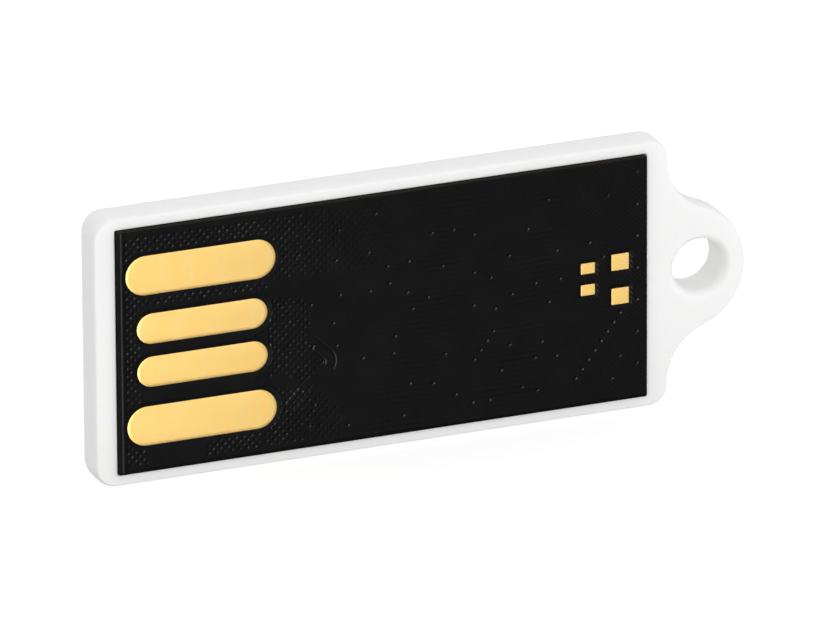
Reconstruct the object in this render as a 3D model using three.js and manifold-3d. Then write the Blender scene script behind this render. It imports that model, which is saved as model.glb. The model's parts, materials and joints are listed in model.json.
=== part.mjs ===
// A slim chip-on-board USB stick: a thin black module with gold contacts, bonded into a
// one-piece white moulded holder that ends in a lanyard loop.
//
// Millimetres. The stick stands on one long edge: +X runs from the plug end to the loop,
// the contacts face -Y, the plain back faces +Y, and +Z is up. The origin is at the middle
// of the lowest edge.
import * as THREE from "three";
import { mergeVertices } from "three/addons/utils/BufferGeometryUtils.js";
import Module from "manifold-3d";

// ---- Driving dimensions -------------------------------------------------------------------

// The module has the standard outline of a slim chip-on-board USB package.
const MODULE = { length: 24.8, width: 11.3, thickness: 1.4, cornerRadius: 0.05 };

// The module's front stands this far beyond the holder's rim.
const MODULE_PROUD = 0.18;

const HOLDER = {
  bodyLength: 26.97,
  width: 12.5,
  thickness: 2.17,
  plugCornerRadius: 1.0,
  loopCornerRadius: 0.9,
  frontRounding: { inset: 0.2, depth: 0.2 },
  backRounding: { inset: 0.65, depth: 1.1 },
  plugEndWall: 1.07,
  pocketClearance: 0.04,
};

// The loop is a round end joined to the body by two hollow flanks, with a round-lipped bore.
const LOOP = {
  radius: 2.98,
  centreBeyondBody: 0.71,
  flankRadius: 2.62,
  boreRadius: 1.2,
  boreBeyondCentre: 0.8,
  mouthRounding: { inset: 0.25, depth: 0.3 },
};

// Layers of the module. Bonded layers are drawn a hair apart.
const BOND_GAP = 0.01;
const CONTACT_PROUD = 0.02;
const MASK_THICKNESS = 0.03;
const COPPER_THICKNESS = 0.02;
const CORE_THICKNESS = 0.24;
const ADHESIVE = { thickness: 0.05, margin: 0.5 };

// USB contacts: power and ground are longer and wider than the data pair.
const POWER_CONTACT = { start: 0.38, length: 6.94, width: 1.81 };
const DATA_CONTACT = { start: 0.87, length: 6.05, width: 1.4 };
const POWER_OFFSET = 3.5;
const DATA_OFFSET = 1.0;
const MASK_CLEARANCE = 0.03;
const COPPER_CLEARANCE = { contact: 0.2, testPad: 0.15 };
const COPPER_EDGE_MARGIN = 0.1;

// Small square-cornered pads near the loop end, for programming and test probes.
const LARGE_TEST_PAD = { start: 23.11, length: 0.82, width: 0.76 };
const SMALL_TEST_PAD = { start: 21.66, length: 0.66, width: 0.5 };
const TEST_PAD_CORNER = 0.04;

// Components under the moulding, placed from the module's plug end and lower edge.
const CONTROLLER = { x: 5.2, z: 4.05, length: 3.2, width: 3.2, thickness: 0.18 };
const MEMORY = { x: 11.0, z: 1.2, length: 12.0, width: 8.9, thickness: 0.15, step: 0.5 };
const DIE_FILM = 0.02;
const CRYSTAL = { x: 1.6, z: 8.3, length: 2.0, width: 1.6, base: 0.35, lid: 0.08, lidMargin: 0.1 };
const CHIP_0402 = { length: 1.0, width: 0.5, height: 0.5, terminal: 0.25 };
const CHIP_0201 = { length: 0.6, width: 0.3, height: 0.26, terminal: 0.15 };
const TERMINAL_WRAP = 0.01;
const WIRE = { diameter: 0.025, rise: 0.14, reach: 0.7, inset: 0.12, pitch: 0.6, perRow: 4 };
const CAVITY_CLEARANCE = 0.06;

// Facets along curves.
const CORNER_STEPS = 7;
const FLANK_STEPS = 8;
const LOOP_STEPS = 26;
const FILLET_STEPS = 5;
const BORE_STEPS = 40;
const PAD_CURVE_STEPS = 4;
const WIRE_STEPS = 6;
const WIRE_SIDES = 6;
const MERGE_DISTANCE = 1e-4;

// ---- Places worked out from the dimensions --------------------------------------------------

const QUARTER = Math.PI / 2;
const TOTAL_LENGTH = HOLDER.bodyLength + LOOP.centreBeyondBody + LOOP.radius;
const TOTAL_THICKNESS = HOLDER.thickness + MODULE_PROUD;
const MIDDLE_Z = HOLDER.width / 2;

const bodyLeft = -TOTAL_LENGTH / 2;
const bodyRight = bodyLeft + HOLDER.bodyLength;
const loopX = bodyRight + LOOP.centreBeyondBody;

const moduleLeft = bodyLeft + HOLDER.plugEndWall;
const moduleBottom = MIDDLE_Z - MODULE.width / 2;
const moduleFront = -TOTAL_THICKNESS / 2;
const moduleBack = moduleFront + MODULE.thickness;
const rimY = moduleFront + MODULE_PROUD;
const backY = rimY + HOLDER.thickness;

const maskFrontY = moduleFront + CONTACT_PROUD;
const frontCopperY = maskFrontY + MASK_THICKNESS + BOND_GAP;
const coreY = frontCopperY + COPPER_THICKNESS + BOND_GAP;
const backCopperY = coreY + CORE_THICKNESS + BOND_GAP;
const maskBackY = backCopperY + COPPER_THICKNESS + BOND_GAP;
const mountingY = maskBackY + MASK_THICKNESS + BOND_GAP;
const adhesiveY = moduleBack + BOND_GAP;
const pocketFloorY = adhesiveY + ADHESIVE.thickness + BOND_GAP;

// ---- Materials ------------------------------------------------------------------------------

function material(color, roughness, metalness = 0) {
  return new THREE.MeshStandardMaterial({ color, roughness, metalness });
}

const whitePlastic = material(0xf2f2f0, 0.45);
const solderMask = material(0x141516, 0.35);
const laminate = material(0x3a2c1c, 0.7);
const copper = material(0xb87040, 0.4, 1);
const gold = material(0xf4cd7c, 0.3, 1);
const mouldCompound = material(0x17171a, 0.75);
const silicon = material(0x5a6072, 0.2);
const dieFilm = material(0x9a8f6a, 0.6);
const ceramic = material(0xb99c74, 0.55);
const resistorBody = material(0x20242c, 0.4);
const tin = material(0xc9ccd0, 0.35, 1);
const adhesive = material(0xd8d6cf, 0.6);

// ---- Geometry helpers -----------------------------------------------------------------------

const wasm = await Module();
wasm.setup();

const assembly = new THREE.Group();

function addPart(name, geometry, surface) {
  const mesh = new THREE.Mesh(geometry, surface);
  mesh.name = name;
  assembly.add(mesh);
}

function toSolid(geometry) {
  const bare = geometry.clone();
  bare.deleteAttribute("normal");
  bare.deleteAttribute("uv");
  const merged = mergeVertices(bare, MERGE_DISTANCE);
  return new wasm.Manifold(
    new wasm.Mesh({
      numProp: 3,
      vertProperties: merged.attributes.position.array,
      triVerts: new Uint32Array(merged.index.array),
    }),
  );
}

function toGeometry(solid) {
  const { vertProperties, triVerts } = solid.getMesh();
  const geometry = new THREE.BufferGeometry();
  geometry.setAttribute("position", new THREE.BufferAttribute(vertProperties, 3));
  geometry.setIndex(new THREE.BufferAttribute(triVerts, 1));
  geometry.computeVertexNormals();
  return geometry;
}

// A rounded rectangle in the X-Z plane. A radius of half the width makes a stadium.
function roundedRectangle(x, z, length, width, radius, Kind = THREE.Shape) {
  const outline = new Kind();
  const right = x + length - radius;
  const top = z + width - radius;
  outline.absarc(x + radius, z + radius, radius, 2 * QUARTER, 3 * QUARTER, false);
  outline.absarc(right, z + radius, radius, 3 * QUARTER, 4 * QUARTER, false);
  outline.absarc(right, top, radius, 0, QUARTER, false);
  outline.absarc(x + radius, top, radius, QUARTER, 2 * QUARTER, false);
  outline.closePath();
  return outline;
}

// A flat plate whose outline lies in the X-Z plane, from frontY towards the back.
function plate(shape, frontY, thickness) {
  const geometry = new THREE.ExtrudeGeometry(shape, {
    depth: thickness,
    bevelEnabled: false,
    curveSegments: PAD_CURVE_STEPS,
  });
  return geometry.rotateX(QUARTER).translate(0, frontY + thickness, 0);
}

function block(x, z, length, width, frontY, thickness) {
  const geometry = new THREE.BoxGeometry(length, thickness, width);
  return geometry.translate(x + length / 2, frontY + thickness / 2, z + width / 2);
}

// Closed skin through rings of equal point count, listed from the front to the back. Each
// ring is { points, y }, with its points anticlockwise as seen from the front.
function loft(rings) {
  const count = rings[0].points.length;
  const positions = rings.flatMap(({ points, y }) => points.flatMap((p) => [p.x, y, p.y]));
  const faces = [];
  for (let ring = 0; ring + 1 < rings.length; ring++) {
    for (let i = 0; i < count; i++) {
      const here = ring * count + i;
      const next = ring * count + ((i + 1) % count);
      faces.push(here, here + count, next + count, here, next + count, next);
    }
  }
  const lastRing = (rings.length - 1) * count;
  for (const [a, b, c] of THREE.ShapeUtils.triangulateShape(rings[0].points, [])) {
    faces.push(a, b, c);
  }
  for (const [a, b, c] of THREE.ShapeUtils.triangulateShape(rings.at(-1).points, [])) {
    faces.push(lastRing + a, lastRing + c, lastRing + b);
  }
  const geometry = new THREE.BufferGeometry();
  geometry.setAttribute("position", new THREE.Float32BufferAttribute(positions, 3));
  geometry.setIndex(faces);
  return geometry;
}

// ---- Holder ---------------------------------------------------------------------------------

// Points on one arc of the holder's outline. A hollow arc has its centre outside the holder,
// so an inset widens it. A joined arc leaves its last point to the arc that follows.
function arcPoints({ x, z, radius, from, to, steps, hollow, joined }, inset) {
  const reach = hollow ? radius + inset : radius - inset;
  return Array.from({ length: joined ? steps : steps + 1 }, (_, i) => {
    const angle = from + ((to - from) * i) / steps;
    return new THREE.Vector2(x + reach * Math.cos(angle), z + reach * Math.sin(angle));
  });
}

function holderOutline(inset) {
  const plugRadius = HOLDER.plugCornerRadius;
  const loopRadius = HOLDER.loopCornerRadius;
  const plug = { x: bodyLeft + plugRadius, radius: plugRadius, steps: CORNER_STEPS };
  const far = { x: bodyRight - loopRadius, radius: loopRadius, steps: CORNER_STEPS };
  const top = HOLDER.width;

  // Each flank touches the body's straight end and the round end of the loop.
  const flankAlong = LOOP.flankRadius - LOOP.centreBeyondBody;
  const flankAcross = Math.sqrt((LOOP.radius + LOOP.flankRadius) ** 2 - flankAlong ** 2);
  const touch = Math.atan2(flankAcross, flankAlong);
  const flankX = bodyRight + LOOP.flankRadius;
  const flank = { x: flankX, radius: LOOP.flankRadius, steps: FLANK_STEPS, hollow: true };
  const loop = { x: loopX, z: MIDDLE_Z, radius: LOOP.radius, steps: LOOP_STEPS };

  return [
    { ...plug, z: plugRadius, from: 2 * QUARTER, to: 3 * QUARTER },
    { ...far, z: loopRadius, from: 3 * QUARTER, to: 4 * QUARTER },
    { ...flank, z: MIDDLE_Z - flankAcross, from: Math.PI, to: Math.PI - touch, joined: true },
    { ...loop, from: -touch, to: touch, joined: true },
    { ...flank, z: MIDDLE_Z + flankAcross, from: Math.PI + touch, to: Math.PI },
    { ...far, z: top - loopRadius, from: 0, to: QUARTER },
    { ...plug, z: top - plugRadius, from: QUARTER, to: 2 * QUARTER },
  ].flatMap((arc) => arcPoints(arc, inset));
}

// Rings of an edge rounded to a quarter ellipse: how far each lies in from the wall, and how
// far back from the face.
function roundedEdge({ inset, depth }) {
  return Array.from({ length: FILLET_STEPS + 1 }, (_, i) => {
    const angle = (QUARTER * i) / FILLET_STEPS;
    return { inset: inset * (1 - Math.sin(angle)), depth: depth * (1 - Math.cos(angle)) };
  });
}

function holderBlank() {
  const front = roundedEdge(HOLDER.frontRounding).map(({ inset, depth }) => ({
    points: holderOutline(inset),
    y: rimY + depth,
  }));
  const back = roundedEdge(HOLDER.backRounding).map(({ inset, depth }) => ({
    points: holderOutline(inset),
    y: backY - depth,
  }));
  return loft([...front, ...back.reverse()]);
}

// The cutter for the cord hole flares at both mouths, which rounds the lips it leaves.
function boreCutter() {
  const circle = (radius) =>
    Array.from({ length: BORE_STEPS }, (_, i) => {
      const angle = (4 * QUARTER * i) / BORE_STEPS;
      const x = loopX + LOOP.boreBeyondCentre + radius * Math.cos(angle);
      return new THREE.Vector2(x, MIDDLE_Z + radius * Math.sin(angle));
    });
  const mouth = roundedEdge(LOOP.mouthRounding);
  const front = mouth.map(({ inset, depth }) => ({
    points: circle(LOOP.boreRadius + inset),
    y: rimY + depth,
  }));
  const back = mouth.map(({ inset, depth }) => ({
    points: circle(LOOP.boreRadius + inset),
    y: backY - depth,
  }));
  const widest = circle(LOOP.boreRadius + LOOP.mouthRounding.inset);
  const runout = LOOP.mouthRounding.depth;
  return loft([
    { points: widest, y: rimY - runout },
    ...front,
    ...back.reverse(),
    { points: widest, y: backY + runout },
  ]);
}

function pocketCutter() {
  const gap = HOLDER.pocketClearance;
  const shape = roundedRectangle(
    moduleLeft - gap,
    moduleBottom - gap,
    MODULE.length + 2 * gap,
    MODULE.width + 2 * gap,
    MODULE.cornerRadius,
  );
  const runout = MODULE_PROUD;
  return plate(shape, rimY - runout, pocketFloorY - rimY + runout);
}

function holder() {
  const tray = toSolid(holderBlank()).subtract(toSolid(pocketCutter()));
  return toGeometry(tray.subtract(toSolid(boreCutter())));
}

addPart("holder", holder(), whitePlastic);

// ---- Pads on the module's face --------------------------------------------------------------

function contact(name, kind, offset) {
  const clearance = COPPER_CLEARANCE.contact;
  const radius = kind.width / 2;
  return { name, ...kind, middle: MIDDLE_Z + offset, radius, proud: CONTACT_PROUD, clearance };
}

function testPad(name, kind, offset) {
  const clearance = COPPER_CLEARANCE.testPad;
  return { name, ...kind, middle: MIDDLE_Z + offset, radius: TEST_PAD_CORNER, proud: 0, clearance };
}

const pads = [
  contact("contact_vbus", POWER_CONTACT, -POWER_OFFSET),
  contact("contact_data_minus", DATA_CONTACT, -DATA_OFFSET),
  contact("contact_data_plus", DATA_CONTACT, DATA_OFFSET),
  contact("contact_ground", POWER_CONTACT, POWER_OFFSET),
  testPad("test_pad_large_lower", LARGE_TEST_PAD, -0.72),
  testPad("test_pad_large_upper", LARGE_TEST_PAD, 0.88),
  testPad("test_pad_small_lower", SMALL_TEST_PAD, -0.22),
  testPad("test_pad_small_upper", SMALL_TEST_PAD, 0.79),
];

function padOutline(pad, grow, Kind) {
  return roundedRectangle(
    moduleLeft + pad.start - grow,
    pad.middle - pad.width / 2 - grow,
    pad.length + 2 * grow,
    pad.width + 2 * grow,
    pad.radius + grow,
    Kind,
  );
}

for (const pad of pads) {
  const front = maskFrontY - pad.proud;
  const thickness = coreY - BOND_GAP - front;
  addPart(pad.name, plate(padOutline(pad, 0), front, thickness), gold);
}

// ---- Layers of the module -------------------------------------------------------------------

function moduleOutline(margin = 0) {
  return roundedRectangle(
    moduleLeft + margin,
    moduleBottom + margin,
    MODULE.length - 2 * margin,
    MODULE.width - 2 * margin,
    MODULE.cornerRadius,
  );
}

// A layer with a window round each pad, as wide as clearanceOf says.
function windowedLayer(margin, clearanceOf, frontY, thickness) {
  const shape = moduleOutline(margin);
  shape.holes = pads.map((pad) => padOutline(pad, clearanceOf(pad), THREE.Path));
  return plate(shape, frontY, thickness);
}

const frontMask = windowedLayer(0, () => MASK_CLEARANCE, maskFrontY, MASK_THICKNESS);
const frontCopper = windowedLayer(
  COPPER_EDGE_MARGIN,
  (pad) => pad.clearance,
  frontCopperY,
  COPPER_THICKNESS,
);
const backCopper = plate(moduleOutline(COPPER_EDGE_MARGIN), backCopperY, COPPER_THICKNESS);

addPart("front_solder_mask", frontMask, solderMask);
addPart("front_copper_pour", frontCopper, copper);
addPart("laminate_core", plate(moduleOutline(), coreY, CORE_THICKNESS), laminate);
addPart("back_copper_pour", backCopper, copper);
addPart("back_solder_mask", plate(moduleOutline(), maskBackY, MASK_THICKNESS), solderMask);

const adhesiveOutline = moduleOutline(ADHESIVE.margin);
addPart("adhesive_film", plate(adhesiveOutline, adhesiveY, ADHESIVE.thickness), adhesive);

// ---- Components under the moulding ----------------------------------------------------------

const cavities = [];

// Leaves room in the moulding for something that stands on the board.
function leaveRoom(x, z, length, width, height) {
  const gap = CAVITY_CLEARANCE;
  const depth = BOND_GAP + height + gap;
  const front = mountingY - BOND_GAP;
  cavities.push(block(x - gap, z - gap, length + 2 * gap, width + 2 * gap, front, depth));
}

// A bare chip on its die-attach film. Returns the height of the chip's top face.
function addDie(name, { x, z, length, width, thickness }, baseY) {
  const left = moduleLeft + x;
  const bottom = moduleBottom + z;
  const dieY = baseY + DIE_FILM + BOND_GAP;
  addPart(`${name}_attach_film`, block(left, bottom, length, width, baseY, DIE_FILM), dieFilm);
  addPart(name, block(left, bottom, length, width, dieY, thickness), silicon);
  return dieY + thickness;
}

// One row of wire bonds. Each arches from a pad near the die's edge down to the board.
function addWireRow(name, { edgeX, toward, topY, firstZ }) {
  for (let i = 0; i < WIRE.perRow; i++) {
    const z = firstZ + i * WIRE.pitch;
    const lift = BOND_GAP + WIRE.diameter / 2;
    const start = new THREE.Vector3(edgeX - toward * WIRE.inset, topY + lift, z);
    const end = new THREE.Vector3(edgeX + toward * WIRE.reach, mountingY + lift, z);
    const shoulder = start.clone().add(new THREE.Vector3(toward * WIRE.inset, WIRE.rise, 0));
    const slope = shoulder.clone().lerp(end, 0.5).add(new THREE.Vector3(0, WIRE.rise / 3, 0));
    const path = new THREE.CatmullRomCurve3([start, shoulder, slope, end]);
    const section = new THREE.Shape().absarc(0, 0, WIRE.diameter / 2, 0, 4 * QUARTER, false);
    const geometry = new THREE.ExtrudeGeometry(section, {
      steps: WIRE_STEPS,
      curveSegments: WIRE_SIDES / 2,
      extrudePath: path,
    });
    addPart(`${name}_${i + 1}`, geometry, gold);
  }
}

function addController() {
  const topY = addDie("controller_die", CONTROLLER, mountingY);
  const left = moduleLeft + CONTROLLER.x;
  const right = left + CONTROLLER.length;
  const middle = moduleBottom + CONTROLLER.z + CONTROLLER.width / 2;
  const firstZ = middle - ((WIRE.perRow - 1) * WIRE.pitch) / 2;
  addWireRow("bond_wire_usb", { edgeX: left, toward: -1, topY, firstZ });
  addWireRow("bond_wire_bus", { edgeX: right, toward: 1, topY, firstZ });
  const span = CONTROLLER.length + 2 * (WIRE.reach + CAVITY_CLEARANCE);
  const start = left - WIRE.reach - CAVITY_CLEARANCE;
  const height = topY - mountingY + WIRE.rise + WIRE.diameter;
  leaveRoom(start, moduleBottom + CONTROLLER.z, span, CONTROLLER.width, height);
}

// The upper memory die steps back from the lower one, so that both rows of pads stay open.
function addMemoryStack() {
  const upper = { ...MEMORY, x: MEMORY.x + MEMORY.step };
  const lowerTop = addDie("memory_die_lower", MEMORY, mountingY);
  const upperTop = addDie("memory_die_upper", upper, lowerTop + BOND_GAP);
  const left = moduleLeft + MEMORY.x;
  const bottom = moduleBottom + MEMORY.z;
  const firstZ = bottom + WIRE.pitch;
  const upperZ = firstZ + (WIRE.perRow + 1) * WIRE.pitch;
  addWireRow("bond_wire_memory_lower", { edgeX: left, toward: -1, topY: lowerTop, firstZ });
  addWireRow("bond_wire_memory_upper", {
    edgeX: left + MEMORY.step,
    toward: -1,
    topY: upperTop,
    firstZ: upperZ,
  });
  const start = left - WIRE.reach - CAVITY_CLEARANCE;
  const length = left + MEMORY.step + MEMORY.length - start;
  const height = upperTop - mountingY + WIRE.rise + WIRE.diameter;
  leaveRoom(start, bottom, length, MEMORY.width, height);
}

function addCrystal() {
  const { x, z, length, width, base, lid, lidMargin } = CRYSTAL;
  const left = moduleLeft + x;
  const bottom = moduleBottom + z;
  const lidLength = length - 2 * lidMargin;
  const lidWidth = width - 2 * lidMargin;
  const lidY = mountingY + base + BOND_GAP;
  addPart("crystal_base", block(left, bottom, length, width, mountingY, base), ceramic);
  const lidGeometry = block(left + lidMargin, bottom + lidMargin, lidLength, lidWidth, lidY, lid);
  addPart("crystal_lid", lidGeometry, tin);
  leaveRoom(left, bottom, length, width, base + BOND_GAP + lid);
}

// A chip capacitor or resistor: a ceramic body between two plated end caps.
function addChip(name, { length, width, height, terminal }, x, z, body) {
  const left = moduleLeft + x;
  const bottom = moduleBottom + z;
  const bodyLength = length - 2 * (terminal + BOND_GAP);
  const right = left + length - terminal;
  const bodyX = left + terminal + BOND_GAP;
  const bodyY = mountingY + TERMINAL_WRAP;
  addPart(`${name}_body`, block(bodyX, bottom, bodyLength, width, bodyY, height), body);
  for (const [end, endX] of [["start", left], ["end", right]]) {
    const endWidth = width + 2 * TERMINAL_WRAP;
    const endHeight = height + 2 * TERMINAL_WRAP;
    const cap = block(endX, bottom - TERMINAL_WRAP, terminal, endWidth, mountingY, endHeight);
    addPart(`${name}_${end}_cap`, cap, tin);
  }
  leaveRoom(left, bottom, length, width, height + 2 * TERMINAL_WRAP);
}

addController();
addMemoryStack();
addCrystal();
addChip("supply_capacitor", CHIP_0402, 1.8, 1.4, ceramic);
addChip("controller_capacitor", CHIP_0402, 6.3, 1.9, ceramic);
addChip("memory_capacitor", CHIP_0402, 8.4, 9.3, ceramic);
addChip("data_minus_resistor", CHIP_0201, 2.9, 4.6, resistorBody);
addChip("data_plus_resistor", CHIP_0201, 2.9, 6.4, resistorBody);

// ---- Moulding -------------------------------------------------------------------------------

function moulding() {
  const slab = toSolid(plate(moduleOutline(), mountingY, moduleBack - mountingY));
  return toGeometry(cavities.reduce((rest, cavity) => rest.subtract(toSolid(cavity)), slab));
}

addPart("mould_compound", moulding(), mouldCompound);

export default assembly;
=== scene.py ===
"""Looks for a slim chip-on-board USB stick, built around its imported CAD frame.

Metres, in the CAD frame: +X runs from the plug end to the lanyard loop, -Y is the contact
side and +Z is up across the width. MM turns the millimetre sizes below into metres.
"""

import json
import math

import bpy
import numpy as np
from mathutils import Matrix, Vector


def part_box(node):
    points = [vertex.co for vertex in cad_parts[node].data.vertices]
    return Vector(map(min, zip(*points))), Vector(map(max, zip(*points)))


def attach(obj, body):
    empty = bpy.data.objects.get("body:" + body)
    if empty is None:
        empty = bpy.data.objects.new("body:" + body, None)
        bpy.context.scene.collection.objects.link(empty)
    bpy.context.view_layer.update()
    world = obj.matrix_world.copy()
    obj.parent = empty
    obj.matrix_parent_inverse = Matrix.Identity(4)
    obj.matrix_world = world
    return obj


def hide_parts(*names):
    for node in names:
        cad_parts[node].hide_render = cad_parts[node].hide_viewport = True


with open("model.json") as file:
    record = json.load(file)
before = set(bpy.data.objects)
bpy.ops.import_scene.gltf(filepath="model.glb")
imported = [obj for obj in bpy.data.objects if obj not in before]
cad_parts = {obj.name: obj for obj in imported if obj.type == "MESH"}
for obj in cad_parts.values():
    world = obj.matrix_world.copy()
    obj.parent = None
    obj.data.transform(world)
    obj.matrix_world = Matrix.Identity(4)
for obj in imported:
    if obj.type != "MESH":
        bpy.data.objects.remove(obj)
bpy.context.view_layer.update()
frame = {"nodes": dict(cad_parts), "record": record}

MM = 0.001

# ---- Sizes in millimetres -------------------------------------------------------------------

PLUG_CORNER = 1.0
LOOP_CORNER = 0.9
FRONT_EDGE = (0.14, 0.6)
BACK_EDGE = (0.65, 1.1)
LOOP_RADIUS = 2.98
LOOP_BEYOND_BODY = 0.71
FLANK_RADIUS = 2.62
BORE_RADIUS = 1.2
BORE_BEYOND_LOOP = 0.8
FRONT_MOUTH = (0.36, 0.55)
BACK_MOUTH = (0.25, 0.3)
POCKET_GAP = 0.04
POCKET_LIP = (0.05, 0.05)
POCKET_FLOOR_GAP = 0.01

MODULE_CORNER = 0.05
TEST_PAD_CORNER = 0.04

CONTACT_CHAMFER = (0.13, 0.013)
TEST_PAD_CHAMFER = (0.05, 0.003)
CHAMFER_POWER = 1.4
CHAMFER_STEPS = 8

RELIEF_STEP = 0.028
RELIEF_LIMIT = 0.03

# ---- Brightness, where 1 is plain white -----------------------------------------------------

# The floor's own glow, as the camera sees it and as it lights the object.
FLOOR_GLOW_SEEN = 0.72
FLOOR_GLOW_LIT = 0.33
FLOOR_ALBEDO = 0.45
# The share of the light it gives that the floor keeps from the object's front backwards, and the
# stretch over which that sets in. The camera and reflections don't see it.
FLOOR_SHADE = 0.78
FLOOR_SHADE_Y_MM = (-7, -1)

DOME_LIGHT = 0.82

# What reflections see: (direction start, end, brightness at start, at end). Directions are the
# components of the unit vector back along the ray.
REFLECTED_SIDEWAYS = (-0.63, -0.15, 0.45, 1.28)
REFLECTED_UPRIGHT = (0.33, 0.8, 1.02, 0.12)
CARD_RADIANCE = 15.0
CARD_LEFT = (-0.12, 0.22, 0, 1)
CARD_LEFT_END = (0.38, 0.55, 1, 0)
CARD_DOWN = (0.06, 0.2, 0, 1)
CARD_DOWN_END = (0.6, 0.75, 1, 0)
CARD_FRONT = (0.2, 0.6, 0, 1)

# ---- Mesh helpers ---------------------------------------------------------------------------


def new_object(name, mesh):
    piece = bpy.data.objects.new(name, mesh)
    bpy.context.scene.collection.objects.link(piece)
    return piece


def object_from(name, vertices, faces):
    mesh = bpy.data.meshes.new(name)
    mesh.from_pydata([tuple(v) for v in vertices], [], [tuple(f) for f in faces])
    mesh.update()
    return new_object(name, mesh)


def shade_smooth(piece, angle_degrees=35):
    mesh = piece.data
    mesh.shade_smooth()
    mesh.set_sharp_from_angle(angle=math.radians(angle_degrees))


def loft(name, rings):
    """A closed skin through rings of equal point count, listed from the front to the back.

    Each ring is (points, y): points are (x, z) pairs, anticlockwise as seen from the front.
    """
    count = len(rings[0][0])
    vertices = [(x, y, z) for points, y in rings for x, z in points]
    faces = [list(range(count))]
    for ring in range(len(rings) - 1):
        for i in range(count):
            here = ring * count + i
            after = ring * count + (i + 1) % count
            faces.append([here, here + count, after + count, after])
    last = (len(rings) - 1) * count
    faces.append([last + i for i in reversed(range(count))])
    return object_from(name, np.array(vertices) * MM, faces)


def rounded_edge(size, steps=10):
    """Steps round a quarter-ellipse edge, face first: (in from the wall, back from the face)."""
    inset, depth = size
    angles = [math.pi / 2 * i / steps for i in range(steps + 1)]
    return [(inset * (1 - math.sin(a)), depth * (1 - math.cos(a))) for a in angles]


def arc(x, z, radius, start, end, steps, last=True):
    count = steps + 1 if last else steps
    angles = [math.radians(start + (end - start) * i / steps) for i in range(count)]
    return [(x + radius * math.cos(a), z + radius * math.sin(a)) for a in angles]


def rounded_rectangle(x0, x1, z0, z1, radius, steps=12):
    return (
        arc(x0 + radius, z0 + radius, radius, 180, 270, steps)
        + arc(x1 - radius, z0 + radius, radius, 270, 360, steps)
        + arc(x1 - radius, z1 - radius, radius, 0, 90, steps)
        + arc(x0 + radius, z1 - radius, radius, 90, 180, steps)
    )


def cut(piece, cutter):
    """Takes the cutter out of the piece for good."""
    modifier = piece.modifiers.new("cut", "BOOLEAN")
    modifier.operation = "DIFFERENCE"
    modifier.solver = "EXACT"
    modifier.object = cutter
    depsgraph = bpy.context.evaluated_depsgraph_get()
    result = bpy.data.meshes.new_from_object(piece.evaluated_get(depsgraph))
    piece.modifiers.clear()
    piece.data = result
    bpy.data.objects.remove(cutter)


def box_mm(node):
    low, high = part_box(node)
    return low / MM, high / MM


# ---- Material helpers -----------------------------------------------------------------------


def calculate(tree, operation, a, b):
    """A maths node. Either operand may be a number or another node's output."""
    node = tree.nodes.new("ShaderNodeMath")
    node.operation = operation
    for socket, operand in zip(node.inputs, (a, b)):
        if isinstance(operand, (int, float)):
            socket.default_value = operand
        else:
            tree.links.new(operand, socket)
    return node.outputs["Value"]


def spread(tree, source, start, end, low, high, smooth=False):
    """The source's value from start to end, spread over low to high and held beyond them."""
    node = tree.nodes.new("ShaderNodeMapRange")
    node.interpolation_type = "SMOOTHSTEP" if smooth else "LINEAR"
    node.inputs["From Min"].default_value = start
    node.inputs["From Max"].default_value = end
    node.inputs["To Min"].default_value = low
    node.inputs["To Max"].default_value = high
    tree.links.new(source, node.inputs["Value"])
    return node.outputs["Result"]


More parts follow.
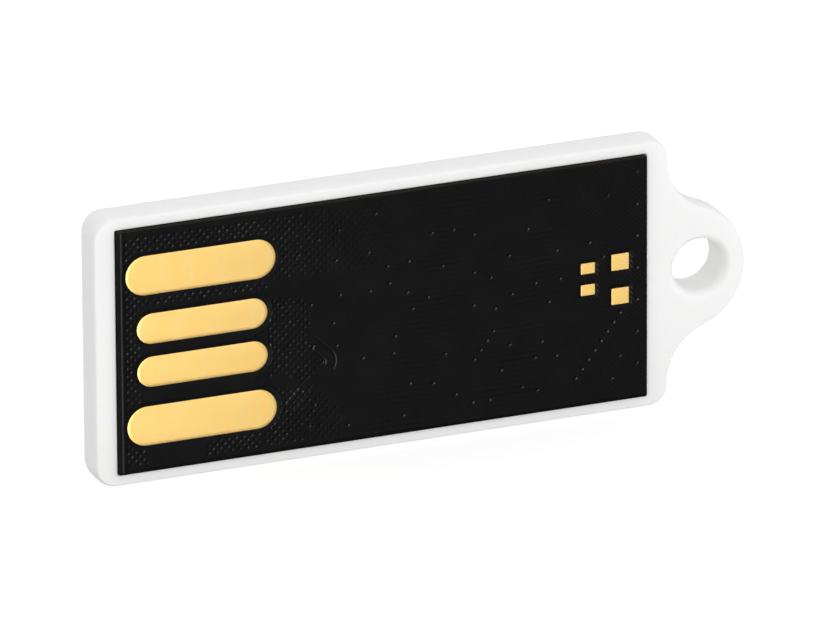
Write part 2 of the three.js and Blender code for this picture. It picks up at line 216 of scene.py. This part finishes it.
class Surface:
    """A Principled material whose detail is built from object-space noise."""

    def __init__(self, name, colour, roughness, metallic=0.0):
        self.material = bpy.data.materials.new(name)
        self.material.use_nodes = True
        self.tree = self.material.node_tree
        self.shader = self.tree.nodes["Principled BSDF"]
        self.shader.inputs["Base Color"].default_value = (*colour, 1)
        self.shader.inputs["Roughness"].default_value = roughness
        self.shader.inputs["Metallic"].default_value = metallic
        self.colour = colour
        self.position = self.tree.nodes.new("ShaderNodeTexCoord").outputs["Object"]
        self.height = None

    def set(self, socket, value):
        self.shader.inputs[socket].default_value = value
        return self

    def _link(self, source, target):
        self.tree.links.new(source, target)

    def noise(self, size_mm, detail=4.0, stretch=(1, 1, 1), roughness=0.55):
        """Noise of about the given feature size, drawn out along the axes by stretch."""
        mapping = self.tree.nodes.new("ShaderNodeMapping")
        mapping.inputs["Scale"].default_value = [1 / (size_mm * MM * s) for s in stretch]
        self._link(self.position, mapping.inputs["Vector"])
        noise = self.tree.nodes.new("ShaderNodeTexNoise")
        noise.inputs["Scale"].default_value = 1.0
        noise.inputs["Detail"].default_value = detail
        noise.inputs["Roughness"].default_value = roughness
        self._link(mapping.outputs["Vector"], noise.inputs["Vector"])
        return noise.outputs["Fac"]

    def facing_up(self):
        """0 on upright faces and 1 on those that face up."""
        split = self.tree.nodes.new("ShaderNodeSeparateXYZ")
        normal = self.tree.nodes.new("ShaderNodeNewGeometry").outputs["Normal"]
        self._link(normal, split.inputs["Vector"])
        return self.ramp(split.outputs["Z"], 0, 1, 0.3, 0.8)

    def ramp(self, source, low, high, start=0.3, end=0.7):
        """The source's value from start to end, spread over low to high."""
        return spread(self.tree, source, start, end, low, high)

    def _blend_colours(self, source, first, second, start, end):
        mix = self.tree.nodes.new("ShaderNodeMix")
        mix.data_type = "RGBA"
        mix.inputs["A"].default_value = (*first, 1)
        mix.inputs["B"].default_value = (*second, 1)
        self._link(self.ramp(source, 0, 1, start, end), mix.inputs["Factor"])
        self._link(mix.outputs["Result"], self.shader.inputs["Base Color"])
        return self

    def vary_colour(self, source, low, high, start=0.3, end=0.7):
        """The material's own colour, from low to high times its brightness."""
        darker = [c * low for c in self.colour]
        lighter = [min(1.0, c * high) for c in self.colour]
        return self._blend_colours(source, darker, lighter, start, end)

    def mix_colour(self, source, other, start=0.3, end=0.7):
        """The material's own colour, giving way to another one."""
        return self._blend_colours(source, self.colour, other, start, end)

    def vary_roughness(self, source, low, high):
        self._link(self.ramp(source, low, high), self.shader.inputs["Roughness"])
        return self

    def bump(self, source, depth_mm, strength=1.0):
        node = self.tree.nodes.new("ShaderNodeBump")
        node.inputs["Strength"].default_value = strength
        node.inputs["Distance"].default_value = depth_mm * MM
        self._link(source, node.inputs["Height"])
        if self.height is not None:
            self._link(self.height, node.inputs["Normal"])
        self.height = node.outputs["Normal"]
        self._link(self.height, self.shader.inputs["Normal"])
        return self


def paint(piece, surface):
    piece.data.materials.clear()
    piece.data.materials.append(surface.material)


# ---- Materials ------------------------------------------------------------------------------


def white_plastic():
    surface = Surface("white_plastic", (0.93, 0.93, 0.925), 0.42)
    surface.set("Subsurface Weight", 0.35)
    surface.set("Subsurface Radius", (1.0, 0.97, 0.94))
    surface.set("Subsurface Scale", 0.5 * MM)
    surface.set("Specular IOR Level", 0.12)
    surface.vary_colour(surface.noise(2.5, 3), 0.985, 1.005)
    surface.vary_roughness(surface.noise(0.6, 4), 0.36, 0.48)
    surface.bump(surface.noise(0.9, 2), 0.006)
    surface.bump(surface.noise(0.06, 3), 0.0012)
    return surface


def black_mask():
    surface = Surface("black_solder_mask", (0.0022, 0.0023, 0.0026), 0.16)
    surface.set("Specular IOR Level", 0.085)
    surface.vary_colour(surface.noise(1.4, 4), 0.7, 1.5)
    surface.vary_roughness(surface.noise(0.5, 4), 0.14, 0.18)
    surface.bump(surface.noise(0.3, 3), 0.0025)
    surface.bump(surface.noise(0.06, 2), 0.0006)
    return surface


def gold_plate():
    surface = Surface("gold_plate", (0.99, 0.645, 0.2), 0.18, metallic=1.0)
    surface.mix_colour(surface.noise(1.1, 4, (0.5, 1, 2.5)), (0.98, 0.68, 0.25), 0.35, 0.7)
    surface.vary_roughness(surface.noise(0.15, 4), 0.15, 0.19)
    surface.bump(surface.noise(0.06, 3), 0.0002)
    surface.bump(surface.noise(0.12, 3, (0.5, 1, 7)), 0.0007)
    surface.bump(surface.noise(0.8, 2), 0.0015)
    return surface


def laminate():
    surface = Surface("laminate", (0.007, 0.006, 0.004), 0.6)
    surface.set("Specular IOR Level", 0.05)
    grain = surface.ramp(surface.noise(0.09, 3, (6, 1, 6)), 0.4, 1.0)
    # Painted light: faces that point up get a lighter tan, as if lit from above, broken up by the
    # grain.
    grain_and_painted_top_light = calculate(surface.tree, "MULTIPLY", grain, surface.facing_up())
    surface.mix_colour(grain_and_painted_top_light, (0.05, 0.037, 0.019), 0.0, 1.0)
    surface.vary_roughness(surface.noise(0.1, 3), 0.45, 0.75)
    surface.bump(surface.noise(0.07, 4, (4, 1, 4)), 0.006)
    return surface


def copper_foil():
    surface = Surface("copper_foil", (0.72, 0.36, 0.2), 0.4, metallic=1.0)
    surface.vary_colour(surface.noise(0.8, 4), 0.75, 1.1)
    surface.vary_roughness(surface.noise(0.2, 4), 0.3, 0.5)
    surface.bump(surface.noise(0.05, 3), 0.001)
    return surface


def epoxy_moulding():
    surface = Surface("epoxy_moulding", (0.012, 0.012, 0.013), 0.7)
    surface.vary_colour(surface.noise(0.12, 5), 0.7, 1.8)
    surface.vary_roughness(surface.noise(0.3, 4), 0.6, 0.85)
    surface.bump(surface.noise(0.06, 5), 0.006)
    return surface


def silicon():
    surface = Surface("silicon", (0.11, 0.115, 0.14), 0.12, metallic=0.6)
    surface.mix_colour(surface.noise(0.3, 2, (4, 1, 1)), (0.16, 0.13, 0.2), 0.4, 0.65)
    surface.vary_roughness(surface.noise(0.5, 2), 0.08, 0.2)
    surface.bump(surface.noise(0.04, 2), 0.0004)
    return surface


def die_film():
    surface = Surface("die_attach_film", (0.42, 0.37, 0.2), 0.55)
    surface.vary_colour(surface.noise(0.4, 3), 0.85, 1.1)
    surface.bump(surface.noise(0.1, 3), 0.001)
    return surface


def fired_ceramic():
    surface = Surface("fired_ceramic", (0.45, 0.31, 0.18), 0.5)
    surface.vary_colour(surface.noise(0.08, 5), 0.8, 1.15)
    surface.vary_roughness(surface.noise(0.1, 3), 0.4, 0.65)
    surface.bump(surface.noise(0.04, 4), 0.002)
    return surface


def glazed_resistor():
    surface = Surface("glazed_resistor", (0.015, 0.018, 0.026), 0.3)
    surface.vary_colour(surface.noise(0.1, 4), 0.7, 1.6)
    surface.vary_roughness(surface.noise(0.1, 3), 0.2, 0.4)
    surface.bump(surface.noise(0.06, 3), 0.001)
    return surface


def tin_plate():
    surface = Surface("tin_plate", (0.78, 0.77, 0.74), 0.3, metallic=1.0)
    surface.vary_colour(surface.noise(0.15, 4), 0.85, 1.05)
    surface.vary_roughness(surface.noise(0.06, 4), 0.22, 0.45)
    surface.bump(surface.noise(0.05, 4), 0.001)
    return surface


def adhesive_film():
    surface = Surface("adhesive_film", (0.7, 0.68, 0.6), 0.5)
    surface.vary_colour(surface.noise(0.6, 4), 0.9, 1.05)
    surface.bump(surface.noise(0.2, 3), 0.003)
    return surface


def or_reflected(tree, plain):
    """The plain brightness, or in the object's reflections one that depends on direction.

    Reflections fall off to the right and steeply downwards, and a bright card lies to the front
    left, so facets of the relief that lean left catch it. Only reflections see these changes.
    They are matched to a picture, and are not what real surroundings would do.
    """
    split = tree.nodes.new("ShaderNodeSeparateXYZ")
    incoming = tree.nodes.new("ShaderNodeNewGeometry").outputs["Incoming"]
    tree.links.new(incoming, split.inputs["Vector"])
    left, front, down = split.outputs["X"], split.outputs["Y"], split.outputs["Z"]
    sideways = spread(tree, left, *REFLECTED_SIDEWAYS)
    upright = spread(tree, down, *REFLECTED_UPRIGHT, smooth=True)
    reflected = calculate(tree, "MULTIPLY", sideways, upright)
    card = CARD_RADIANCE
    for source, edge in (
        (left, CARD_LEFT),
        (left, CARD_LEFT_END),
        (down, CARD_DOWN),
        (down, CARD_DOWN_END),
        (front, CARD_FRONT),
    ):
        window = spread(tree, source, *edge, smooth=True)
        card = calculate(tree, "MULTIPLY", window, card)
    reflected = calculate(tree, "ADD", reflected, card)
    difference = calculate(tree, "SUBTRACT", reflected, plain)
    glossy = tree.nodes.new("ShaderNodeLightPath").outputs["Is Glossy Ray"]
    return calculate(tree, "ADD", plain, calculate(tree, "MULTIPLY", glossy, difference))


def lit_floor():
    """A white floor that glows, as a light table does, so shadows on it stay faint.

    Its glow differs for the camera, for the light it gives and for reflections. For the light it
    gives, it is darker from the object's front backwards.
    """
    surface = Surface("lit_floor", (FLOOR_ALBEDO, FLOOR_ALBEDO, FLOOR_ALBEDO), 0.9)
    surface.set("Specular IOR Level", 0.0)
    tree = surface.tree
    path = tree.nodes.new("ShaderNodeLightPath")
    split = tree.nodes.new("ShaderNodeSeparateXYZ")
    position = tree.nodes.new("ShaderNodeNewGeometry").outputs["Position"]
    tree.links.new(position, split.inputs["Vector"])
    far, near = [y * MM for y in FLOOR_SHADE_Y_MM]
    shade = spread(tree, split.outputs["Y"], far, near, 0, 1, smooth=True)
    shade = calculate(tree, "MULTIPLY", shade, path.outputs["Is Diffuse Ray"])
    light = spread(tree, shade, 0, 1, 1.0, FLOOR_SHADE)
    glow = spread(tree, path.outputs["Is Diffuse Ray"], 0, 1, FLOOR_GLOW_SEEN, FLOOR_GLOW_LIT)
    glow = or_reflected(tree, calculate(tree, "MULTIPLY", glow, light))
    albedo = spread(tree, path.outputs["Is Glossy Ray"], 0, 1, FLOOR_ALBEDO, 0)
    albedo = calculate(tree, "MULTIPLY", albedo, light)
    tree.links.new(albedo, surface.shader.inputs["Base Color"])
    surface.set("Emission Color", (1, 1, 1, 1))
    tree.links.new(glow, surface.shader.inputs["Emission Strength"])
    surface.material.cycles.emission_sampling = "NONE"
    return surface


PLASTIC = white_plastic()
MASK = black_mask()
GOLD = gold_plate()

# Record material slot -> what its CAD nodes are painted with.
SLOT_SURFACES = {
    "holder_plastic": PLASTIC,
    "solder_mask": MASK,
    "gold": GOLD,
    "copper": copper_foil(),
    "laminate": laminate(),
    "mould_compound": epoxy_moulding(),
    "silicon": silicon(),
    "die_film": die_film(),
    "ceramic": fired_ceramic(),
    "resistor_body": glazed_resistor(),
    "tin": tin_plate(),
    "adhesive": adhesive_film(),
}

for subpart in frame["record"]["subparts"]:
    paint(frame["nodes"][subpart["node"]], SLOT_SURFACES[subpart["material_slot"]])

# ---- Holder ---------------------------------------------------------------------------------

holder_low, holder_high = box_mm("holder")
mask_low, mask_high = box_mm("front_solder_mask")
film_high = box_mm("adhesive_film")[1]
middle_z = (holder_low.z + holder_high.z) / 2
loop_x = holder_high.x - LOOP_RADIUS
body_right = loop_x - LOOP_BEYOND_BODY


def holder_outline(inset):
    """The holder's outline, drawn in by inset. Hollow flanks widen as it is drawn in."""
    low, high = holder_low.z, holder_high.z
    plug_x, plug = holder_low.x + PLUG_CORNER, PLUG_CORNER - inset
    far_x, far = body_right - LOOP_CORNER, LOOP_CORNER - inset
    flank = FLANK_RADIUS + inset
    flank_x = body_right + FLANK_RADIUS
    along = FLANK_RADIUS - LOOP_BEYOND_BODY
    across = math.sqrt((LOOP_RADIUS + FLANK_RADIUS) ** 2 - along**2)
    touch = math.degrees(math.atan2(across, along))
    return (
        arc(plug_x, low + PLUG_CORNER, plug, 180, 270, 14)
        + arc(far_x, low + LOOP_CORNER, far, 270, 360, 14)
        + arc(flank_x, middle_z - across, flank, 180, 180 - touch, 24, last=False)
        + arc(loop_x, middle_z, LOOP_RADIUS - inset, -touch, touch, 72, last=False)
        + arc(flank_x, middle_z + across, flank, 180 + touch, 180, 24)
        + arc(far_x, high - LOOP_CORNER, far, 0, 90, 14)
        + arc(plug_x, high - PLUG_CORNER, plug, 90, 180, 14)
    )


def holder_blank():
    front = [(holder_outline(i), holder_low.y + d) for i, d in rounded_edge(FRONT_EDGE)]
    back = [(holder_outline(i), holder_high.y - d) for i, d in rounded_edge(BACK_EDGE, 16)]
    return loft("holder_body", front + back[::-1])


def bore_cutter():
    x = loop_x + BORE_BEYOND_LOOP

    def circle(radius):
        return arc(x, middle_z, radius, 0, 360, 96, last=False)

    def mouth(size):
        return [(circle(BORE_RADIUS + inset), depth) for inset, depth in rounded_edge(size, 12)]

    front = [(ring, holder_low.y + depth) for ring, depth in mouth(FRONT_MOUTH)]
    back = [(ring, holder_high.y - depth) for ring, depth in mouth(BACK_MOUTH)]
    before = [(front[0][0], holder_low.y - FRONT_MOUTH[1])]
    beyond = [(back[0][0], holder_high.y + BACK_MOUTH[1])]
    return loft("bore_cutter", before + front + back[::-1] + beyond)


def pocket_cutter():
    def outline(grow):
        gap = POCKET_GAP + grow
        radius = MODULE_CORNER + grow
        return rounded_rectangle(
            mask_low.x - gap, mask_high.x + gap, mask_low.z - gap, mask_high.z + gap, radius
        )

    lip = [(outline(i), holder_low.y + d) for i, d in rounded_edge(POCKET_LIP, 6)]
    above = [(outline(POCKET_LIP[0]), holder_low.y - POCKET_LIP[1])]
    floor = [(outline(0), film_high.y + POCKET_FLOOR_GAP)]
    return loft("pocket_cutter", above + lip + floor)


def build_holder():
    piece = holder_blank()
    cut(piece, pocket_cutter())
    cut(piece, bore_cutter())
    shade_smooth(piece)
    weighted = piece.modifiers.new("weighted_normals", "WEIGHTED_NORMAL")
    weighted.keep_sharp = True
    paint(piece, PLASTIC)
    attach(piece, "root")
    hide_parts("holder")


build_holder()

# ---- Gold pads ------------------------------------------------------------------------------

CONTACTS = ("contact_vbus", "contact_data_minus", "contact_data_plus", "contact_ground")
TEST_PADS = (
    "test_pad_large_lower",
    "test_pad_large_upper",
    "test_pad_small_lower",
    "test_pad_small_upper",
)


def pad_radius(node):
    low, high = box_mm(node)
    return (high.z - low.z) / 2 if node in CONTACTS else TEST_PAD_CORNER


def build_pad(node):
    """A plated pad whose flat face falls away gently to its edge."""
    low, high = box_mm(node)
    inset, drop = CONTACT_CHAMFER if node in CONTACTS else TEST_PAD_CHAMFER
    radius = pad_radius(node)
    steps = 40 if node in CONTACTS else 8

    def outline(inward):
        return rounded_rectangle(
            low.x + inward,
            high.x - inward,
            low.z + inward,
            high.z - inward,
            max(radius - inward, TEST_PAD_CORNER / 4),
            steps,
        )

    chamfer = []
    for i in range(CHAMFER_STEPS + 1):
        part = i / CHAMFER_STEPS
        chamfer.append((outline(inset * (1 - part)), low.y + drop * part**CHAMFER_POWER))
    piece = loft(f"{node}_plating", chamfer + [(outline(0), high.y)])
    shade_smooth(piece, 60)
    paint(piece, GOLD)
    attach(piece, "root")
    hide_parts(node)


for pad_node in CONTACTS + TEST_PADS:
    build_pad(pad_node)

# ---- Relief of the module's face ------------------------------------------------------------
#
# u runs from the plug end and w up from the middle line, both in millimetres. Heights are
# positive towards the viewer of the contacts.

HATCH_PITCH = 0.36
HATCH_DEPTH = 0.025
HATCH_HOLE = 0.11
HATCH_FADE = (5.0, 16.0)
HATCH_SEED = 7
HATCH_FILL = (0.5, 1.0)
VIA_RADIUS = 0.1
VIA_DEPTH = 0.026
GROOVE_HALF_WIDTH = 0.05
GROOVE_DEPTH = 0.016
PAD_RING = 0.17

TRACK_PITCH = 0.26
DIAGONAL_PITCH = 0.22
TRACK_HEIGHT = 0.005

# How far the relief takes to build up beside a pad.
PAD_CLEARANCE = (0.02, 0.08)
# A raised line along the plug end: where, how high, and how it falls off.
END_LINE_U = 0.245
END_LINE_HEIGHT = 0.019
END_LINE_FALL = (0.01, 0.15)
# The mask dips towards each pad, slopes along the bottom and rolls off at the other edges.
PAD_DIP = 0.02
PAD_DIP_REACH = 0.22
BOTTOM_SLOPE = 0.025
BOTTOM_SLOPE_REACH = 0.17
EDGE_ROLL = 0.015
EDGE_ROLL_REACH = 0.05
# The relief stops this far above the back of the mask, which is RELIEF_LIMIT thick.
RELIEF_SPARE = 0.002

# Areas where the copper pour is hatched, so that the mask dimples over each opening. Their corners
# are on a half-millimetre grid, apart from the margin to the board's edge.
POUR_START = 0.3
POUR_TOP = 5.35
CONTACT_START = 1.0
CONTACT_END = 7.0
ABOVE_CONTACTS = (
    (POUR_START, POUR_TOP),
    (15, POUR_TOP),
    (15, 3),
    (12, 2.5),
    (CONTACT_END, 2.5),
    (CONTACT_END, 2),
    (POUR_START, 2),
)
PLUG_END = (
    (POUR_START, 2),
    (CONTACT_START, 2),
    (CONTACT_START, -4.5),
    (1.5, -POUR_TOP),
    (POUR_START, -POUR_TOP),
)
BEHIND_MIDDLE = (
    (CONTACT_END, 1.5),
    (8.5, 1.5),
    (9, 0.5),
    (9, -1),
    (9.5, -2),
    (9, -2.5),
    (CONTACT_END, -2),
)
BEHIND_LOWEST = (
    (CONTACT_END, -2.5),
    (9, -3),
    (10, -3.5),
    (10.5, -POUR_TOP),
    (4, -POUR_TOP),
    (4, -4.5),
    (CONTACT_END, -4.5),
)
HATCH_AREAS = (ABOVE_CONTACTS, PLUG_END, BEHIND_MIDDLE, BEHIND_LOWEST)

# Stitching vias in evenly spaced rows: first via, step to the next, how many.
VIA_SLANT = (-0.3, -0.4)
VIA_ROWS = (
    ((24.3, 5), (0, -1.5), 7),
    ((17.5, -1.5), VIA_SLANT, 4),
    ((23.5, -1.5), VIA_SLANT, 8),
)

# Loose vias, scattered over the routed part of the board at no less than a set spacing.
LOOSE_VIA_LOW = (8, -5)
LOOSE_VIA_HIGH = (23.5, 5)
LOOSE_VIA_TRIES = 110
LOOSE_VIA_SPACING = 0.75
LOOSE_VIA_SEED = 11

# Etched gaps between copper areas: two that run down at 45 degrees and bend back round one centre,
# and two straight ones side by side below them.
BEND_CENTRE = np.array((9.4, -1.75))
BEND_RADII = (0.7, 0.22)
BEND_RUN = 1.0
BEND_TURN = (45, -35)
DIAGONAL_START = np.array((8.75, -2.35))
DIAGONAL_RUN = np.array((-1, -1))
DIAGONAL_SHIFT = np.array((0.2, -0.45))

# Raised rings round the far end of three contacts, at this distance from the pad. The rise is
# measured from the contact's far end.
END_RING_GAP = 0.27
END_RING_FALL = 0.07
END_RING_HEIGHT = 0.012
END_RING_RISE = (-0.75, -0.6)


def smooth_step(value, start, end):
    t = np.clip((value - start) / (end - start), 0, 1)
    return t * t * (3 - 2 * t)


def inside_polygon(u, w, corners):
    inside = np.zeros(u.shape, bool)
    for (u0, w0), (u1, w1) in zip(corners, corners[1:] + corners[:1]):
        if w0 == w1:
            continue
        crosses = (w0 > w) != (w1 > w)
        inside ^= crosses & (u < (u1 - u0) * (w - w0) / (w1 - w0) + u0)
    return inside


def pad_distance(u, w, node):
    """Distance outside a pad's edge, negative inside it."""
    low, high = box_mm(node)
    radius = pad_radius(node)
    half_u = (high.x - low.x) / 2
    half_w = (high.z - low.z) / 2
    centre_u = (low.x + high.x) / 2 - mask_low.x
    centre_w = (low.z + high.z) / 2 - middle_z
    over_u = np.abs(u - centre_u) - half_u + radius
    over_w = np.abs(w - centre_w) - half_w + radius
    corner = np.hypot(np.maximum(over_u, 0), np.maximum(over_w, 0))
    return corner + np.minimum(np.maximum(over_u, over_w), 0) - radius


def line_distance(u, w, points):
    best = np.full(u.shape, 99.0)
    for (u0, w0), (u1, w1) in zip(points, points[1:]):
        du, dw = u1 - u0, w1 - w0
        along = np.clip(((u - u0) * du + (w - w0) * dw) / (du * du + dw * dw), 0, 1)
        best = np.minimum(best, np.hypot(u - u0 - along * du, w - w0 - along * dw))
    return best


def hatch_relief(u, w, nearest_pad_at):
    """Dimples on a square lattice turned by 45 degrees, each one whole or absent."""
    a = np.round((u + w) / HATCH_PITCH)
    b = np.round((u - w) / HATCH_PITCH)
    hole_u = (a + b) * HATCH_PITCH / 2
    hole_w = (a - b) * HATCH_PITCH / 2
    open_here = np.zeros(u.shape, bool)
    for area in HATCH_AREAS:
        open_here |= inside_polygon(hole_u, hole_w, area)
    open_here &= nearest_pad_at(hole_u, hole_w) > PAD_RING
    fade = 1 - smooth_step(hole_u, *HATCH_FADE)
    bowl = 1 - smooth_step(np.hypot(u - hole_u, w - hole_w), 0.1 * HATCH_HOLE, HATCH_HOLE)
    fill = np.random.default_rng(HATCH_SEED).uniform(*HATCH_FILL, (256, 256))
    uneven = fill[a.astype(int) % 256, b.astype(int) % 256]
    return -HATCH_DEPTH * bowl * fade * uneven * open_here


def via_places():
    places = []
    for (u0, w0), (du, dw), count in VIA_ROWS:
        places += [(u0 + du * i, w0 + dw * i) for i in range(count)]
    draws = np.random.default_rng(LOOSE_VIA_SEED)
    for place in draws.uniform(LOOSE_VIA_LOW, LOOSE_VIA_HIGH, (LOOSE_VIA_TRIES, 2)):
        if all(np.hypot(*(place - other)) >= LOOSE_VIA_SPACING for other in places):
            places.append(tuple(place))
    return places


def etched_gaps():
    gaps = []
    turn = np.radians(np.linspace(*BEND_TURN, 8))
    for radius in BEND_RADII:
        arc = BEND_CENTRE + radius * np.stack([np.cos(turn), np.sin(turn)], axis=-1)
        start = arc[0] + (-BEND_RUN, BEND_RUN)
        gaps.append([start, *arc])
    for shift in (0 * DIAGONAL_SHIFT, DIAGONAL_SHIFT):
        gaps.append([DIAGONAL_START + shift, DIAGONAL_START + shift + DIAGONAL_RUN])
    return gaps


def via_relief(u, w):
    places = via_places()
    height = np.zeros(u.shape)
    reach = 2 * VIA_RADIUS
    for via_u, via_w in places:
        near = (np.abs(u - via_u) < reach) & (np.abs(w - via_w) < reach)
        distance = np.hypot(u[near] - via_u, w[near] - via_w)
        height[near] -= VIA_DEPTH * (1 - smooth_step(distance, 0.02, VIA_RADIUS))
    return height


def trace_relief(u, w):
    """Fine parallel tracks across the middle, and a fine diagonal hatch at the loop end."""
    waver = 0.05 * np.sin(0.45 * u) + 0.02 * np.sin(1.7 * u + 1.3)
    tracks = np.cos(2 * np.pi * (w + waver) / TRACK_PITCH)
    strength = 0.5 + 0.5 * np.sin(0.9 * u + 1.9 * w) * np.sin(2.3 * w - 0.4 * u)
    middle = smooth_step(u, 10.0, 12.5) * (1 - smooth_step(u, 20.0, 22.0))
    diagonal = np.cos(2 * np.pi * (u + 0.9 * w) / DIAGONAL_PITCH) * smooth_step(u, 20.5, 22.5)
    return TRACK_HEIGHT * tracks * strength * middle + TRACK_HEIGHT * diagonal


def relief(u, w, length, width):
    pads = CONTACTS + TEST_PADS

    def nearest_pad_at(at_u, at_w):
        return np.minimum.reduce([pad_distance(at_u, at_w, node) for node in pads])

    pad_gap = nearest_pad_at(u, w)
    bottom_gap = w + width / 2
    edge_gap = np.minimum(length - u, width / 2 - w)

    height = hatch_relief(u, w, nearest_pad_at) + via_relief(u, w) + trace_relief(u, w)
    for points in etched_gaps():
        distance = line_distance(u, w, points)
        height -= GROOVE_DEPTH * (1 - smooth_step(distance, 0.01, GROOVE_HALF_WIDTH))
    for node in CONTACTS[:3]:
        end = box_mm(node)[1].x - mask_low.x
        off_ring = np.abs(pad_distance(u, w, node) - END_RING_GAP)
        ring = 1 - smooth_step(off_ring, 0.0, END_RING_FALL)
        rise_start, rise_end = [end + step for step in END_RING_RISE]
        height += END_RING_HEIGHT * ring * smooth_step(u, rise_start, rise_end)

    # Next to a pad there is no copper pattern under the mask.
    height *= smooth_step(pad_gap, *PAD_CLEARANCE)
    height += END_LINE_HEIGHT * (1 - smooth_step(np.abs(u - END_LINE_U), *END_LINE_FALL))
    height -= PAD_DIP * (1 - smooth_step(pad_gap, 0.0, PAD_DIP_REACH))
    height -= BOTTOM_SLOPE * np.clip(1 - bottom_gap / BOTTOM_SLOPE_REACH, 0, 1)
    height -= EDGE_ROLL * (1 - smooth_step(edge_gap, 0.0, EDGE_ROLL_REACH))
    return np.maximum(height, RELIEF_SPARE - RELIEF_LIMIT)


def build_module_face():
    length = mask_high.x - mask_low.x
    width = mask_high.z - mask_low.z
    columns = int(round(length / RELIEF_STEP)) + 1
    rows = int(round(width / RELIEF_STEP)) + 1
    u, w = np.meshgrid(np.linspace(0, length, columns), np.linspace(-width / 2, width / 2, rows))
    height = relief(u, w, length, width)

    # Draw the outermost points in to the module's rounded corners.
    from_u = np.clip(u, MODULE_CORNER, length - MODULE_CORNER)
    from_w = np.clip(w, MODULE_CORNER - width / 2, width / 2 - MODULE_CORNER)
    out_u, out_w = u - from_u, w - from_w
    reach = np.hypot(out_u, out_w)
    shrink = np.where(reach > MODULE_CORNER, MODULE_CORNER / np.maximum(reach, 1e-9), 1.0)
    u = from_u + out_u * shrink
    w = from_w + out_w * shrink

    front = np.stack([mask_low.x + u, mask_low.y - height, middle_z + w], axis=-1).reshape(-1, 3)
    index = np.arange(rows * columns).reshape(rows, columns)
    corners = (index[:-1, :-1], index[:-1, 1:], index[1:, 1:], index[1:, :-1])
    faces = np.stack([c.ravel() for c in corners], axis=-1).tolist()

    # A skirt runs back from the face's border, and one flat face closes the underside.
    border = np.concatenate(
        [index[0, :-1], index[:-1, -1], index[-1, :0:-1], index[:0:-1, 0]]
    ).tolist()
    skirt = front[border].copy()
    skirt[:, 1] = mask_high.y
    base = len(front)
    count = len(border)
    for i in range(count):
        j = (i + 1) % count
        faces.append([border[i], base + i, base + j, border[j]])
    faces.append([base + i for i in reversed(range(count))])

    piece = object_from("module_face", np.concatenate([front, skirt]) * MM, faces)
    shade_smooth(piece, 50)
    paint(piece, MASK)
    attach(piece, "root")
    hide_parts("front_solder_mask")


build_module_face()

# ---- Floor, light and camera ----------------------------------------------------------------

FLOOR_HALF = 6.0
VIEW_AZIMUTH = math.radians(-21.6)
VIEW_ELEVATION = math.radians(21.2)
VIEW_ROLL = math.radians(-0.3)
VIEW_DISTANCE = 0.6366
VIEW_AIM = Vector((-0.00011, -0.00005, 0.0059))
LENS_MM = 635.3

# Angles in degrees, measured as the view's are. Distance and size in metres.
SOFTBOX_AZIMUTH = 15
SOFTBOX_ELEVATION = 14
SOFTBOX_DISTANCE = 1.2
SOFTBOX_SIZE = (1.2, 0.6)
SOFTBOX_RADIANCE = 1.8


def build_floor():
    turns = ((-1, -1), (1, -1), (1, 1), (-1, 1))
    corners = [(FLOOR_HALF * x, FLOOR_HALF * y, 0.0) for x, y in turns]
    floor = object_from("floor", corners, [(0, 1, 2, 3)])
    paint(floor, lit_floor())


def build_world():
    """White all round. The lens sees plain white, and the object is lit by a little less.

    Its reflections see a brightness that depends on direction.
    """
    world = bpy.data.worlds.new("studio")
    world.use_nodes = True
    tree = world.node_tree
    nodes, links = tree.nodes, tree.links
    nodes.clear()
    seen = nodes.new("ShaderNodeBackground")
    lighting = nodes.new("ShaderNodeBackground")
    seen.inputs["Strength"].default_value = 1.0
    links.new(or_reflected(tree, DOME_LIGHT), lighting.inputs["Strength"])
    for background in (seen, lighting):
        background.inputs["Color"].default_value = (1, 1, 1, 1)
    path = nodes.new("ShaderNodeLightPath")
    mix = nodes.new("ShaderNodeMixShader")
    output = nodes.new("ShaderNodeOutputWorld")
    links.new(path.outputs["Is Camera Ray"], mix.inputs["Fac"])
    links.new(lighting.outputs["Background"], mix.inputs[1])
    links.new(seen.outputs["Background"], mix.inputs[2])
    links.new(mix.outputs["Shader"], output.inputs["Surface"])
    world.cycles.sampling_method = "NONE"
    bpy.context.scene.world = world


def outward_vector(azimuth, elevation):
    """The unit vector from the object towards a light or camera at these angles."""
    flat = math.cos(elevation)
    return Vector((math.sin(azimuth) * flat, -math.cos(azimuth) * flat, math.sin(elevation)))


def softbox(name, azimuth, elevation, distance, size, radiance):
    """A rectangular area light that faces the object. Radiance 1 matches plain white."""
    outward = outward_vector(math.radians(azimuth), math.radians(elevation))
    light = bpy.data.lights.new(name, "AREA")
    light.shape = "RECTANGLE"
    light.size, light.size_y = size
    light.energy = radiance * math.pi * size[0] * size[1]
    lamp = bpy.data.objects.new(name, light)
    lamp.location = VIEW_AIM + outward * distance
    lamp.rotation_mode = "QUATERNION"
    lamp.rotation_quaternion = outward.to_track_quat("Z", "Y")
    lamp.visible_camera = False
    bpy.context.scene.collection.objects.link(lamp)


def build_camera():
    back = outward_vector(VIEW_AZIMUTH, VIEW_ELEVATION)
    camera = bpy.data.objects.new("camera", bpy.data.cameras.new("camera"))
    camera.data.sensor_width = 36.0
    camera.data.lens = LENS_MM
    camera.data.clip_start = 0.01
    camera.location = VIEW_AIM + back * VIEW_DISTANCE
    camera.rotation_mode = "QUATERNION"
    level = (-back).to_track_quat("-Z", "Y")
    camera.rotation_quaternion = level @ Matrix.Rotation(VIEW_ROLL, 3, "Z").to_quaternion()
    bpy.context.scene.collection.objects.link(camera)
    bpy.context.scene.camera = camera


build_floor()
build_world()
softbox(
    "front_softbox",
    SOFTBOX_AZIMUTH,
    SOFTBOX_ELEVATION,
    SOFTBOX_DISTANCE,
    SOFTBOX_SIZE,
    SOFTBOX_RADIANCE,
)
build_camera()
bpy.context.scene.view_settings.view_transform = "Standard"
